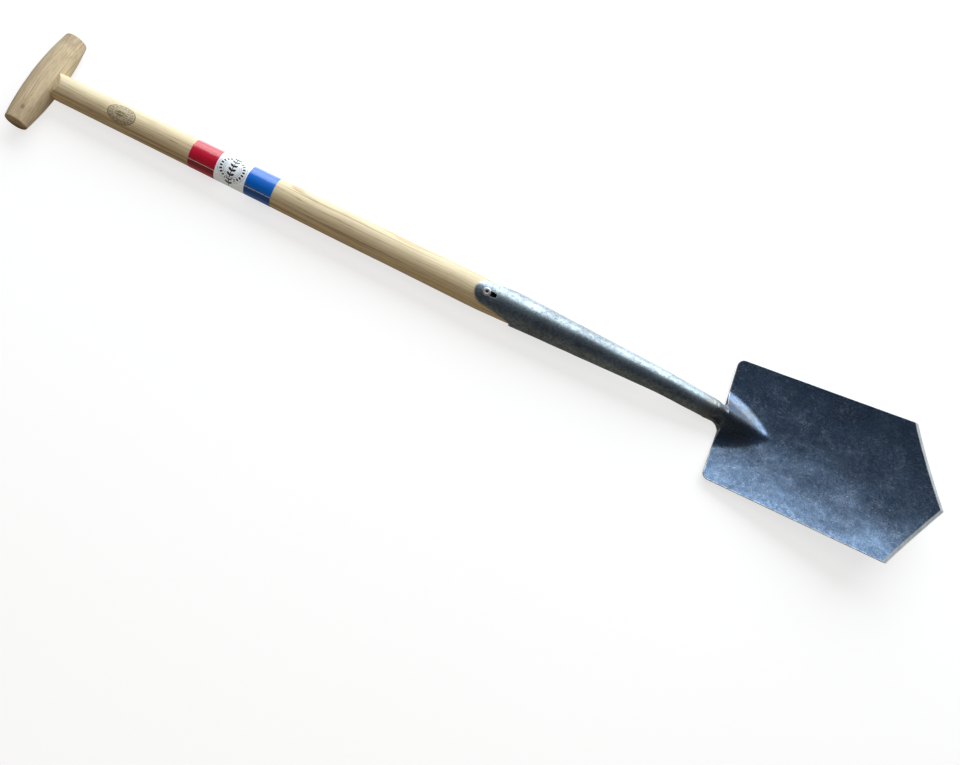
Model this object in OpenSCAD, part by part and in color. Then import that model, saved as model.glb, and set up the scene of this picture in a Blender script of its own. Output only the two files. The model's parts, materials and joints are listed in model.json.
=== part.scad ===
// Garden spade with a T-shaped ash grip, an ash shaft and a forged pointed blade.
// It lies on its back, front face up. +X runs along the shaft from the grip to the blade's point,
// +Y runs across the blade and +Z is up. The floor is Z = 0.

/* [Grip] */
// Length of the crossbar, end to end
grip_len = 128; // [110:1:150]
// Diameter of the crossbar at its middle
grip_mid_d = 34; // [32:0.5:38]
// Diameter of the crossbar where its ends start to round over
grip_end_d = 25; // [22:0.5:28]
// Radius that rounds the rim of each end
grip_rim_r = 2.5; // [2:0.5:7]
// Diameter of the round tenon that goes through the crossbar
tenon_d = 19; // [16:0.5:20]
// Thickness of the wedge at the tenon's end
wedge_thick = 3.2; // [2:0.1:4]
// How deep the wedge is driven into the tenon
wedge_depth = 22; // [15:1:26]

/* [Shaft] */
// Diameter of the shaft where it meets the grip
shaft_top_d = 31.2; // [30:0.2:32]
// Diameter of the parallel stretch in the middle of the shaft
clip_d = 38; // [37:0.1:39]
// Distance from the grip's axis to the start of the parallel stretch
clip_start = 340; // [330:1:360]
// Length of the parallel stretch
clip_len = 100; // [60:1:120]
// Diameter of the shaft just above the socket
shaft_low_d = 40.8; // [40:0.1:41]
// Rise of the bevel across the shaft's end, in degrees from the shaft
bevel_angle = 40; // [35:1:50]

/* [Label] */
// Distance from the grip's axis to the start of the wrapped label
label_start = 186; // [150:1:200]
// Length of the label along the shaft
label_len = 104.5; // [80:0.5:120]
// Thickness of the label
label_thick = 0.2; // [0.1:0.05:0.3]

/* [Socket] */
// Distance from the grip's axis to the tip of the socket's tongue
tongue_x = 553; // [553:1:557]
// Distance from the tip of the tongue to the rim at the back of the socket
tongue_len = 57; // [50:1:65]
// Half width of the tongue's round end
tongue_r = 15; // [13:0.5:16]
// Outer diameter of the socket at the tip of the tongue
socket_mouth_d = 45.6; // [45.6:0.1:46.4]
// Outer diameter of the socket where the neck starts
socket_low_d = 30.4; // [29:0.2:31]
// Length of the socket, from the tongue's tip to the neck
socket_len = 259; // [255:1:262]
// Thickness of the socket's wall
socket_wall = 2; // [1.8:0.1:2]
// Turn of the tongue, the rivet and the shaft's bevels about the shaft, in degrees
front_turn = 12; // [0:1:15]

/* [Neck] */
// Drop of the neck's axis from the shaft's axis to the blade's top edge
neck_drop = 10.5; // [10:0.5:10.5]
// Diameter of the neck at the weld
weld_d = 28; // [27:0.2:28.4]
// Diameter of the neck at the blade's top edge
neck_end_d = 26.4; // [24:2.4:26.4]
// Length of the weld along the neck
weld_len = 6; // [4:0.5:8]
// Distance from the weld to the blade's top edge
stub_len = 20; // [19:1:20]

/* [Blade] */
// Distance from the grip's axis to the blade's top edge
tread_x = 909; // [909:1:910]
// Drop of the blade's middle below the shaft's axis at the top edge
tread_drop = 22.3; // [22.3:0.1:22.4]
// Length of the blade from the top edge to the point
blade_len = 305; // [305:1:307]
// Length of the straight sides
side_len = 244; // [243:1:245]
// Width at the top edge
top_w = 171; // [160:1:185]
// Width at the shoulders, where the point starts
shoulder_w = 193; // [192:1:195]
// Thickness of the blade
blade_thick = 2.2; // [1.8:0.1:2.6]
// Radius of the blade's dish across its width
dish_r = 490; // [400:10:700]
// Lift of the blade out of the shaft's line, in degrees
lift_angle = 8.3; // [8.2:0.1:8.4]
// How far the top edge curves in towards the point
tread_bow = 3; // [1:0.5:5]
// Radius of the two top corners
corner_r = 8; // [5:0.5:12]
// Width of the ground edge along the point
grind_w = 4; // [3:0.5:6]
// Length of the raised frog that runs from the neck into the blade
frog_len = 86; // [85:1:86]
// Half width of the frog's foot at the top edge
frog_r = 34; // [28:1:40]

/* [Rivet] */
// Distance from the tip of the tongue to the rivet
rivet_offset = 14.5; // [14:0.5:16]
// Diameter of the rivet's head
rivet_head_d = 10.6; // [9:0.1:12]
// Height of the rivet's head above the tongue
rivet_head_h = 1.6; // [1:0.1:2.4]
// Diameter of the rivet's body, which is also the width of the slot
rivet_body_d = 6; // [5.2:0.1:6.4]
// Diameter of the hole down the rivet
rivet_bore_d = 3.8; // [3:0.1:4]
// Length of the rivet below the tongue's surface
rivet_len = 22; // [18:1:24]
// Length of the slot, from the rivet's axis to its far end
slot_len = 13.2; // [11:0.2:16]

/* [Hidden] */
$fn = 96;

ash_pale = [0.86, 0.76, 0.55];
ash_tan = [0.78, 0.66, 0.48];
beech_tan = [0.62, 0.47, 0.30];
forged_dark = [0.22, 0.25, 0.29];
dressed_grey = [0.42, 0.41, 0.39];
zinc = [0.78, 0.79, 0.80];
label_red = [0.75, 0.10, 0.14];

far = 400;

// Grip: the barrel's radius falls off with the square of the distance from its middle
grip_r = grip_mid_d / 2;
grip_half = grip_len / 2;
barrel_half = grip_half - grip_rim_r;
barrel_steps = 12;
rim_steps = 5;
function barrel_r(y) = grip_r - (grip_mid_d - grip_end_d) / 2 * pow(y / barrel_half, 2);
rim_base_r = grip_end_d / 2 - grip_rim_r;
barrel_half_outline = concat(
    [for (i = [0 : barrel_steps]) [barrel_r(barrel_half * i / barrel_steps),
        barrel_half * i / barrel_steps]],
    [for (i = [1 : rim_steps]) [rim_base_r + grip_rim_r * cos(90 * i / rim_steps),
        barrel_half + grip_rim_r * sin(90 * i / rim_steps)]]);
barrel_points = len(barrel_half_outline);

// Shaft
shaft_start = 2;
clip_end = clip_start + clip_len;
shaft_slope = (clip_d - shaft_top_d) / 2 / clip_start;
function upper_shaft_r(x) = shaft_top_d / 2 + shaft_slope * x;
bevel_top_x = 21.8;

// Socket: one straight taper outside and inside
socket_slope = (socket_mouth_d - socket_low_d) / 2 / socket_len;
neck_x = tongue_x + socket_len;
function socket_r(x) = socket_mouth_d / 2 - socket_slope * (x - tongue_x);
rim_x = tongue_x + tongue_len;
cavity_end_x = tongue_x + 236;
spigot_start_x = tongue_x + 13;
spigot_end_x = cavity_end_x - 4;
spigot_gap = 0.05;
tongue_root_half = 20.5;
tongue_side_half = 18.7;
tongue_side_x = rim_x - 5;
shoulder_x = tongue_x + 3;

// Rivet
rivet_x = tongue_x + rivet_offset;
rivet_seat_z = socket_r(rivet_x);
rivet_hole_gap = 0.05;
rivet_hole_depth = rivet_len + 3;
mandrel_len = 9;

// Neck
neck_angle = atan2(neck_drop, tread_x - neck_x);
neck_len = (tread_x - neck_x) / cos(neck_angle);
stub_start = neck_len - stub_len;
weld_start = stub_start - weld_len;

// Blade
lift_sin = sin(lift_angle);
lift_cos = cos(lift_angle);
bow_r = (pow(top_w / 2, 2) + pow(tread_bow, 2)) / (2 * tread_bow);
side_angle = atan2((shoulder_w - top_w) / 2, side_len);
grind_steps = 4;
edge_thick = 0.5;
corner_steps = 8;
corner_y = top_w / 2 - corner_r + corner_r * tan(side_angle);
corner_turn = 90 - side_angle;
// Half of the outline, from the top edge round the corner and the shoulder to the point
half_outline = concat(
    [for (i = [0 : corner_steps]) [corner_r - corner_r * cos(corner_turn * i / corner_steps),
        corner_y + corner_r * sin(corner_turn * i / corner_steps)]],
    [[side_len, shoulder_w / 2], [blade_len, 0]]);
point_angle = atan2(shoulder_w / 2, blade_len - side_len);
point_len = norm([shoulder_w / 2, blade_len - side_len]);
frog_tip_r = 1.5;
frog_sink = 14;
frog_ridge_gap = 16;

// Rest: the grip's middle and the blade's heel both touch the floor
heel_x = tread_x + tread_bow * lift_cos + blade_thick * lift_sin;
heel_z = -tread_drop + tread_bow * lift_sin - blade_thick * lift_cos;
rest_tilt = atan2(-heel_z, heel_x) - asin(grip_r / norm([heel_x, heel_z]));
tip_x = tread_x + blade_len * lift_cos + blade_thick * lift_sin;
tip_z = -tread_drop + blade_len * lift_sin - blade_thick * lift_cos;
tip_rest_x = tip_x * cos(rest_tilt) - tip_z * sin(rest_tilt);
middle_x = (tip_rest_x - grip_r) / 2;

// Puts a shape drawn about the shaft's axis, with the grip's axis at x = 0, on the floor
module at_rest() {
    translate([-middle_x, 0, grip_r]) rotate([0, -rest_tilt, 0]) children();
}

// Lays a shape drawn about Z along +X
module along_x() {
    rotate([0, 90, 0]) children();
}

// Turns a shape about the shaft's axis to the side that the tongue and the rivet are on
module turned() {
    rotate([front_turn, 0, 0]) children();
}

module cone_x(x1, r1, x2, r2) {
    translate([x1, 0, 0]) along_x() cylinder(h = x2 - x1, r1 = r1, r2 = r2);
}

// ---- grip ----

module barrel() {
    rotate([90, 0, 0]) rotate_extrude()
        polygon(concat(
            [for (i = [barrel_points - 1 : -1 : 1])
                [barrel_half_outline[i][0], -barrel_half_outline[i][1]]],
            barrel_half_outline,
            [[0, grip_half], [0, -grip_half]]));
}

module tenon_rod() {
    translate([-grip_mid_d, 0, 0]) along_x() cylinder(h = 2 * grip_mid_d, d = tenon_d);
}

// The wedge lies across the crossbar's grain and narrows towards the blade
module wedge_form() {
    translate([-grip_r, 0, -grip_r]) linear_extrude(grip_mid_d)
        polygon([[-1, -wedge_thick / 2], [wedge_depth, 0], [-1, wedge_thick / 2]]);
}

module t_grip() {
    color(ash_tan) at_rest() difference() {
        barrel();
        tenon_rod();
    }
}

module grip_wedge() {
    color(beech_tan) at_rest() intersection() {
        wedge_form();
        tenon_rod();
        barrel();
    }
}

// ---- shaft ----

module shaft_turning() {
    along_x() rotate_extrude() polygon([
        [0, shaft_start],
        [upper_shaft_r(shaft_start), shaft_start],
        [clip_d / 2, clip_start],
        [clip_d / 2, clip_end],
        [shaft_low_d / 2, shoulder_x],
        [socket_r(spigot_start_x) - socket_wall - spigot_gap, spigot_start_x],
        [socket_r(spigot_end_x) - socket_wall - spigot_gap, spigot_end_x],
        [0, spigot_end_x]
    ]);
}

// The bevel planes slope up from the grip, one in front and one behind
module end_bevels() {
    for (side = [0, 180])
        rotate([side, 0, 0]) translate([bevel_top_x, 0, upper_shaft_r(bevel_top_x)])
            rotate([0, -bevel_angle, 0]) translate([-far / 4, -far / 2, 0])
                cube([far / 4 + 10, far, far / 4]);
}

module shaft() {
    color(ash_pale) at_rest() difference() {
        union() {
            difference() {
                shaft_turning();
                barrel();
                turned() end_bevels();
            }
            intersection() {
                tenon_rod();
                barrel();
            }
            translate([grip_r - 6, 0, 0]) along_x() cylinder(h = 12, d = tenon_d);
        }
        wedge_form();
        turned() rivet_hole();
    }
}

module rivet_hole() {
    translate([rivet_x, 0, rivet_seat_z - rivet_hole_depth])
        cylinder(h = far, d = rivet_body_d + 2 * rivet_hole_gap);
}

// ---- label ----

module label() {
    label_end = label_start + label_len;
    color(label_red) at_rest() along_x() rotate_extrude() polygon([
        [upper_shaft_r(label_start), label_start],
        [upper_shaft_r(label_start) + label_thick, label_start],
        [upper_shaft_r(label_end) + label_thick, label_end],
        [upper_shaft_r(label_end), label_end]
    ]);
}

// ---- rivet ----

module rivet() {
    crown_r = rivet_head_d / 2 - 1.2;
    color(zinc) at_rest() turned() translate([rivet_x, 0, rivet_seat_z]) rotate_extrude() polygon([
        [rivet_bore_d / 2, -rivet_len],
        [rivet_body_d / 2, -rivet_len],
        [rivet_body_d / 2, 0],
        [rivet_head_d / 2, 0],
        [rivet_head_d / 2, rivet_head_h * 0.4],
        [crown_r, rivet_head_h],
        [rivet_bore_d / 2, rivet_head_h]
    ]);
}

// The stub of the pulled mandrel stays in the blind end of the rivet
module rivet_mandrel() {
    color(zinc) at_rest() turned() translate([rivet_x, 0, rivet_seat_z - rivet_len]) {
        cylinder(h = mandrel_len, d = rivet_bore_d);
        translate([0, 0, -2]) cylinder(h = 2, d = rivet_body_d - 0.4);
    }
}

// ---- socket and neck ----

// Children are drawn about Z from the neck's start and laid along the neck's axis
module along_neck() {
    translate([neck_x, 0, 0]) rotate([0, neck_angle, 0]) along_x() children();
}

module tongue_outline() {
    translate([tongue_x + tongue_r, 0]) circle(r = tongue_r);
    polygon([
        [tongue_x + tongue_r, -tongue_r],
        [tongue_side_x, -tongue_side_half],
        [rim_x + 2, -tongue_root_half],
        [rim_x + 2, tongue_root_half],
        [tongue_side_x, tongue_side_half],
        [tongue_x + tongue_r, tongue_r]
    ]);
}

module slot_outline() {
    translate([rivet_x, 0]) circle(d = rivet_body_d);
    translate([rivet_x, -rivet_body_d / 2]) square([slot_len - rivet_body_d / 2, rivet_body_d]);
    translate([rivet_x + slot_len - rivet_body_d / 2, 0]) circle(d = rivet_body_d);
}

module socket() {
    color(forged_dark) at_rest() union() {
        difference() {
            cone_x(tongue_x, socket_r(tongue_x), neck_x, socket_r(neck_x));
            cone_x(tongue_x - 1, socket_r(tongue_x - 1) - socket_wall,
                cavity_end_x, socket_r(cavity_end_x) - socket_wall);
            turned() difference() {
                translate([tongue_x - 1, -far / 2, -far / 2]) cube([tongue_len + 1, far, far]);
                linear_extrude(far) tongue_outline();
            }
            turned() linear_extrude(far) slot_outline();
        }
        translate([neck_x, 0, 0]) sphere(d = socket_low_d);
        along_neck() cylinder(h = weld_start, d1 = socket_low_d, d2 = weld_d);
    }
}

module neck_weld() {
    weld_crown = 0.3;
    color(dressed_grey) at_rest() along_neck() rotate_extrude() polygon([
        [0, weld_start],
        [weld_d / 2, weld_start],
        [weld_d / 2 + weld_crown, weld_start + weld_len / 2],
        [weld_d / 2, stub_start],
        [0, stub_start]
    ]);
}

// ---- blade ----

// Children are drawn with x from the top edge to the point, y across and z out of the front
module in_blade() {
    translate([tread_x, 0, -tread_drop]) rotate([0, -lift_angle, 0]) children();
}

// A long solid cylinder whose lower side is the blade's surface, pushed back by depth
module dish_rod(depth) {
    translate([-far, 0, dish_r]) along_x() cylinder(h = 2 * far, r = dish_r + depth, $fn = 360);
}

module blade_outline() {
    difference() {
        polygon(concat(half_outline,
            [for (i = [len(half_outline) - 2 : -1 : 0]) [half_outline[i][0], -half_outline[i][1]]]));
        translate([tread_bow - bow_r, 0]) circle(r = bow_r, $fn = 720);
    }
}

// A strip of the given width along both edges of the point
module point_strips(width) {
    margin = 10;
    for (side = [-1, 1])
        translate([blade_len, 0]) rotate(side * (180 - point_angle))
            translate([-margin, side > 0 ? -margin : -width])
                square([point_len + 2 * margin, width + margin]);
}

module outline_prism() {
    translate([0, 0, -20]) linear_extrude(60) blade_outline();
}

// The grind follows the dish, so it is made of narrow steps that get thinner towards the edge
module grind() {
    for (i = [1 : grind_steps])
        intersection() {
            translate([0, 0, -20]) linear_extrude(60)
                point_strips(grind_w * (grind_steps + 1 - i) / grind_steps);
            dish_rod((blade_thick - edge_thick) * i / grind_steps);
        }
}

module sheet() {
    difference() {
        intersection() {
            outline_prism();
            dish_rod(blade_thick);
        }
        dish_rod(0);
        grind();
    }
}

// A cone from a foot at the top edge to a tip on the blade's face
module frog_cone(foot_z, foot_r, length) {
    translate([0, 0, foot_z]) rotate([0, atan2(foot_z, length), 0]) along_x()
        cylinder(h = norm([length, foot_z]), r1 = foot_r, r2 = frog_tip_r);
}

module frog() {
    intersection() {
        outline_prism();
        dish_rod(blade_thick);
        frog_cone(-frog_sink, frog_r, frog_len);
    }
    intersection() {
        dish_rod(blade_thick);
        frog_cone(tread_drop - neck_drop, neck_end_d / 2, frog_len - frog_ridge_gap);
    }
}

module neck_stub() {
    along_neck() translate([0, 0, stub_start])
        cylinder(h = stub_len, d1 = weld_d, d2 = neck_end_d);
}

module blade() {
    color(forged_dark) at_rest() union() {
        in_blade() sheet();
        in_blade() frog();
        neck_stub();
    }
}

t_grip();
grip_wedge();
shaft();
label();
rivet();
rivet_mandrel();
socket();
neck_weld();
blade();
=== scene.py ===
import json
from math import atan2, copysign, cos, hypot, pi, radians, sin, sqrt, tan

import bmesh
import bpy
from mathutils import Matrix, Vector, noise


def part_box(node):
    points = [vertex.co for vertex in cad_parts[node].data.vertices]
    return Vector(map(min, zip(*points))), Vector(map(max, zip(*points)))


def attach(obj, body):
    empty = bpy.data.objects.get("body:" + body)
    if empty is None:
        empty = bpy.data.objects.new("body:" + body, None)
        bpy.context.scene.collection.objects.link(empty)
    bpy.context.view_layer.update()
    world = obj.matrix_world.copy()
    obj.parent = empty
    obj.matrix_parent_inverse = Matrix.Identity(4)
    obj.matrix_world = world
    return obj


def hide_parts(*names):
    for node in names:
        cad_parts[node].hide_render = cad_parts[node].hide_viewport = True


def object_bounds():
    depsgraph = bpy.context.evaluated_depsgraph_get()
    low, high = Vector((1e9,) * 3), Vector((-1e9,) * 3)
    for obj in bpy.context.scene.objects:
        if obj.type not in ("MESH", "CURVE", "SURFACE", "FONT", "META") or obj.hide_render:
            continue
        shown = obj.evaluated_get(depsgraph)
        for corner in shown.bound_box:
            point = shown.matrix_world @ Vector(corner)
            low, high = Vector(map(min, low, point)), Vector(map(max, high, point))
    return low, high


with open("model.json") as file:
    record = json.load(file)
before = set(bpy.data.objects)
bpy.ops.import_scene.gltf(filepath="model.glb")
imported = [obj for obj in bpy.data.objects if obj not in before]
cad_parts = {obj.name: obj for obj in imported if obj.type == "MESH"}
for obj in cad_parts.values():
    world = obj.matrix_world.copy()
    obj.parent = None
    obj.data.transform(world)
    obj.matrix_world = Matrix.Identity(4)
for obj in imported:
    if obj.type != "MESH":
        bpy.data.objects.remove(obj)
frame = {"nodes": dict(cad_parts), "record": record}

# A garden spade lying on its back: an ash crossbar and shaft, a printed label, and forged steel.
# Shapes are drawn in millimetres in the spade's own frame: x runs down the shaft from the middle
# of the crossbar, y runs across, and z comes out of the front face. SPADE takes that frame to the
# row frame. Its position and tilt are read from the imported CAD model.

MM = 0.001
cad_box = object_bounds()


def spade_matrix():
    """The matrix from the spade's frame to the row frame."""
    low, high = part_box("t_grip")
    mounts = {m["name"]: m for m in frame["record"]["mounts"]}
    along = -Vector(mounts["shaft_clip_seat"]["axis"]).normalized()
    across = Vector((0, 1, 0))
    matrix = Matrix((along, across, along.cross(across))).transposed().to_4x4()
    matrix.translation = (low + high) / 2
    return matrix


SPADE = spade_matrix()
TO_SPADE = SPADE.inverted()


def cad_extent(node):
    """Lowest and highest corner of a CAD node in the spade's frame, in millimetres."""
    points = [TO_SPADE @ v.co / MM for v in frame["nodes"][node].data.vertices]
    low = Vector([min(p[i] for p in points) for i in range(3)])
    high = Vector([max(p[i] for p in points) for i in range(3)])
    return low, high


# ---- sizes, in millimetres and degrees ----

FRONT_TURN = radians(12)       # the tongue, rivet, bevels and stamp sit this far towards -y

GRIP_LOW, GRIP_HIGH = cad_extent("t_grip")
GRIP_HALF = GRIP_HIGH.y
GRIP_R = GRIP_HIGH.z
GRIP_END_R = 12.5
GRIP_RIM_R = 2.5
BARREL_HALF = GRIP_HALF - GRIP_RIM_R
TENON_R = 9.5
WEDGE_THICK = 3.2
WEDGE_DEPTH = 22.0

SHAFT_STATIONS = ((0.0, 15.5), (110.0, 16.3), (280.0, 17.7), (340.0, 18.6), (400.0, 19.1), (440.0, 19.2),
                  (556.0, 20.4))
BEVEL_SLOPE = tan(radians(40))
BEVEL_TOP_X = 21.8
SPIGOT_START = 566.0
SPIGOT_END = cad_extent("shaft")[1].x

LABEL_START, LABEL_END = cad_extent("label")[0].x, cad_extent("label")[1].x
LABEL_THICK = 0.15
LABEL_EDGE = radians(-52)      # where the film's outer end shows
LABEL_OVERLAP = radians(24)

TONGUE_X = cad_extent("socket")[0].x
TONGUE_R = 15.0
TONGUE_LEN = 57.0
RIM_X = TONGUE_X + TONGUE_LEN
SOCKET_R = 22.8
SOCKET_SLOPE = 0.02934
WALL = 2.0
NECK_X = TONGUE_X + 259
CAVITY_END = TONGUE_X + 236

TREAD_X = 909.0
NECK_DROP = 10.5
NECK_ANGLE = atan2(NECK_DROP, TREAD_X - NECK_X)
NECK_LEN = (TREAD_X - NECK_X) / cos(NECK_ANGLE)
NECK_START_R = SOCKET_R - SOCKET_SLOPE * (NECK_X - TONGUE_X)
WELD_R = 14.0
NECK_END_R = 13.2
STUB_LEN = 20.0
WELD_LEN = 6.0
WELD_X = TREAD_X - STUB_LEN - WELD_LEN / 2

TREAD_DROP = 22.3
LIFT = radians(8.3)
BLADE_LEN = 305.0
SIDE_LEN = 244.0
TOP_HALF = 85.5
SHOULDER_HALF = 96.5
BLADE_THICK = 2.2
DISH_R = 490.0
TREAD_BOW = 3.0
CORNER_R = 8.0
GRIND_W = 4.4
EDGE_THICK = 0.5
FROG_LEN = 67.0

RIVET_X = TONGUE_X + 14.5
RIVET_HEAD_R = 5.3
RIVET_HEAD_H = 1.6
RIVET_BODY_R = 3.0
RIVET_BORE_R = 1.9
RIVET_LEN = 22.0
SLOT_LEN = 13.2


# ---- small helpers ----

def clamp(value, low=0.0, high=1.0):
    return max(low, min(high, value))


def mix(a, b, share):
    return a + (b - a) * share


def smoothstep(value, low=0.0, high=1.0):
    t = clamp((value - low) / (high - low))
    return t * t * (3 - 2 * t)


def smooth_max(a, b, soft):
    """The larger of a and b, rounded over where they are within soft of each other."""
    near = max(soft - abs(a - b), 0.0) / soft
    return max(a, b) + near * near * soft / 4


def spread(low, high, count):
    """count + 1 evenly spaced values from low to high."""
    return [mix(low, high, i / count) for i in range(count + 1)]


def ring_angles(sides):
    return [2 * pi * i / sides for i in range(sides)]


def along_table(table, x):
    """Straight-line interpolation in a short list of (x, value) pairs."""
    for (x0, v0), (x1, v1) in zip(table, table[1:]):
        if x <= x1:
            return mix(v0, v1, clamp((x - x0) / (x1 - x0)))
    return table[-1][1]


def ripple(point, size, height, seed=0.0):
    """A gentle, fixed unevenness: size is how broad its humps are, in millimetres."""
    return height * noise.noise(Vector(point) / size + Vector((seed, seed * 1.7, -seed)))


def skin(rows, closed=True):
    """Quads between neighbouring rows of points, all of one length."""
    count = len(rows[0])
    steps = count if closed else count - 1
    points = [p for row in rows for p in row]
    faces = []
    for r in range(len(rows) - 1):
        for c in range(steps):
            d = (c + 1) % count
            faces.append((r * count + c, r * count + d, (r + 1) * count + d, (r + 1) * count + c))
    return points, faces


def in_scene(name, data):
    """A new object in the scene."""
    thing = bpy.data.objects.new(name, data)
    bpy.context.scene.collection.objects.link(thing)
    return thing


def new_object(name, points, faces, sharp_deg=32):
    """A smooth-shaded mesh object from points in the spade's frame, its faces turned outwards."""
    mesh = bpy.data.meshes.new(name)
    mesh.from_pydata([Vector(p) * MM for p in points], [], faces)
    bm = bmesh.new()
    bm.from_mesh(mesh)
    bmesh.ops.remove_doubles(bm, verts=bm.verts, dist=0.004 * MM)
    bmesh.ops.recalc_face_normals(bm, faces=bm.faces)
    bm.to_mesh(mesh)
    bm.free()
    mesh.transform(SPADE)
    mesh.shade_smooth()
    mesh.set_sharp_from_angle(angle=radians(sharp_deg))
    return in_scene(name, mesh)


def solid(name, rows, sharp_deg=32):
    """A solid through rings of points, its first and last ring closed with one face each."""
    points, faces = skin(rows)
    count = len(rows[0])
    last = len(points) - count
    faces += [tuple(range(count)), tuple(range(last, last + count))]
    return new_object(name, points, faces, sharp_deg)


def around(x, radius, angle):
    """A point round the spade's axis. Angle 0 is straight ahead, towards +z."""
    return (x, radius * sin(angle), radius * cos(angle))


def cut(piece, cutter, sharp_deg=32):
    """Takes the cutter's solid out of the piece, and removes the cutter."""
    modifier = piece.modifiers.new("cut", "BOOLEAN")
    modifier.operation = "DIFFERENCE"
    modifier.solver = "EXACT"
    modifier.object = cutter
    bpy.context.view_layer.update()
    shape = piece.evaluated_get(bpy.context.evaluated_depsgraph_get())
    mesh = bpy.data.meshes.new_from_object(shape)
    piece.modifiers.clear()
    piece.data = mesh
    mesh.shade_smooth()
    mesh.set_sharp_from_angle(angle=radians(sharp_deg))
    bpy.data.objects.remove(cutter)


def store_edge_distance(piece, distance):
    """Keeps each vertex's distance from an edge, in millimetres, for the material to read; the material
    paints edges bright, partly as wear and partly as a painted highlight.
    """
    layer = piece.data.attributes.new("edge_mm", "FLOAT", "POINT")
    layer.data.foreach_set("value", [distance(TO_SPADE @ v.co / MM) for v in piece.data.vertices])


def finish_piece(piece, node, materials):
    piece.data.materials.clear()
    for material in materials:
        piece.data.materials.append(material)
    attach(piece, "root")
    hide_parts(node)
    return piece


# ---- node trees ----

class Nodes:
    """Adds nodes to a tree. Inputs are numbers, colours or other nodes' sockets."""

    def __init__(self, tree):
        self.nodes = tree.nodes
        self.links = tree.links

    def put(self, socket, value):
        if isinstance(value, bpy.types.NodeSocket):
            self.links.new(value, socket)
        elif value is not None:
            socket.default_value = value

    def math(self, operation, a, b=None):
        node = self.nodes.new("ShaderNodeMath")
        node.operation = operation
        self.put(node.inputs[0], a)
        self.put(node.inputs[1], b)
        return node.outputs[0]

    def add(self, a, b):
        return self.math("ADD", a, b)

    def sub(self, a, b):
        return self.math("SUBTRACT", a, b)

    def mul(self, a, b):
        return self.math("MULTIPLY", a, b)

    def div(self, a, b):
        return self.math("DIVIDE", a, b)

    def size(self, a):
        return self.math("ABSOLUTE", a)

    def hypot(self, a, b):
        return self.math("SQRT", self.add(self.mul(a, a), self.mul(b, b)))

    def split(self, vector):
        node = self.nodes.new("ShaderNodeSeparateXYZ")
        self.put(node.inputs[0], vector)
        return node.outputs[0], node.outputs[1], node.outputs[2]

    def join(self, x, y, z):
        node = self.nodes.new("ShaderNodeCombineXYZ")
        for socket, value in zip(node.inputs, (x, y, z)):
            self.put(socket, value)
        return node.outputs[0]

    def scaled(self, place, scale):
        """Three coordinates, each multiplied by its own number, as one vector."""
        return self.join(*[self.mul(value, number) for value, number in zip(place, scale)])

    def stretched(self, vector, scale, turn=(0.0, 0.0, 0.0), shift=(0.0, 0.0, 0.0)):
        node = self.nodes.new("ShaderNodeMapping")
        self.put(node.inputs["Vector"], vector)
        node.inputs["Rotation"].default_value = [radians(a) for a in turn]
        node.inputs["Scale"].default_value = scale
        node.inputs["Location"].default_value = shift
        return node.outputs[0]

    def noise(self, vector, scale, detail=3.0, rough=0.5, twist=0.0):
        node = self.nodes.new("ShaderNodeTexNoise")
        self.put(node.inputs["Vector"], vector)
        self.put(node.inputs["Scale"], scale)
        self.put(node.inputs["Detail"], detail)
        self.put(node.inputs["Roughness"], rough)
        self.put(node.inputs["Distortion"], twist)
        return node.outputs[0]

    def cells(self, vector, scale):
        node = self.nodes.new("ShaderNodeTexVoronoi")
        self.put(node.inputs["Vector"], vector)
        self.put(node.inputs["Scale"], scale)
        return node.outputs["Distance"]

    def span(self, value, low, high, to_low=0.0, to_high=1.0):
        """Maps low..high smoothly on to to_low..to_high, and holds it there outside."""
        node = self.nodes.new("ShaderNodeMapRange")
        node.interpolation_type = "SMOOTHSTEP"
        for socket, number in zip(node.inputs, (value, low, high, to_low, to_high)):
            self.put(socket, number)
        return node.outputs[0]

    def blend(self, share, a, b):
        node = self.nodes.new("ShaderNodeMix")
        node.data_type = "RGBA"
        self.put(node.inputs["Factor"], share)
        self.put(node.inputs[6], a)
        self.put(node.inputs[7], b)
        return node.outputs[2]


class Tree(Nodes):
    """Builds one material. place is where a point lies in the spade's frame, in metres."""

    def __init__(self, name):
        self.material = bpy.data.materials.new(name)
        self.material.use_nodes = True
        super().__init__(self.material.node_tree)
        self.nodes.clear()
        to_spade = self.nodes.new("ShaderNodeMapping")
        to_spade.inputs["Location"].default_value = TO_SPADE.translation
        to_spade.inputs["Rotation"].default_value = TO_SPADE.to_euler()
        self.links.new(self.nodes.new("ShaderNodeTexCoord").outputs["Object"], to_spade.inputs["Vector"])
        self.place = to_spade.outputs[0]

    def attribute(self, name):
        node = self.nodes.new("ShaderNodeAttribute")
        node.attribute_name = name
        return node.outputs["Fac"]

    def bump(self, height, depth_mm, strength):
        node = self.nodes.new("ShaderNodeBump")
        node.inputs["Strength"].default_value = strength
        node.inputs["Distance"].default_value = depth_mm * MM
        self.put(node.inputs["Height"], height)
        return node.outputs[0]

    def surface(self, **sockets):
        """Ends the tree with one shader. Names are the shader's sockets, with _ for a space."""
        shader = self.nodes.new("ShaderNodeBsdfPrincipled")
        for name, value in sockets.items():
            self.put(shader.inputs[name.replace("_", " ")], value)
        output = self.nodes.new("ShaderNodeOutputMaterial")
        self.links.new(shader.outputs[0], output.inputs["Surface"])
        return self.material


def tone(red, green, blue):
    """A colour given as it looks on screen, 0 to 255, as the linear values that shaders use."""
    linear = []
    for value in (red, green, blue):
        share = value / 255
        linear.append(share / 12.92 if share <= 0.04045 else ((share + 0.055) / 1.055) ** 2.4)
    return (*linear, 1.0)


# ---- wood ----

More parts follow.
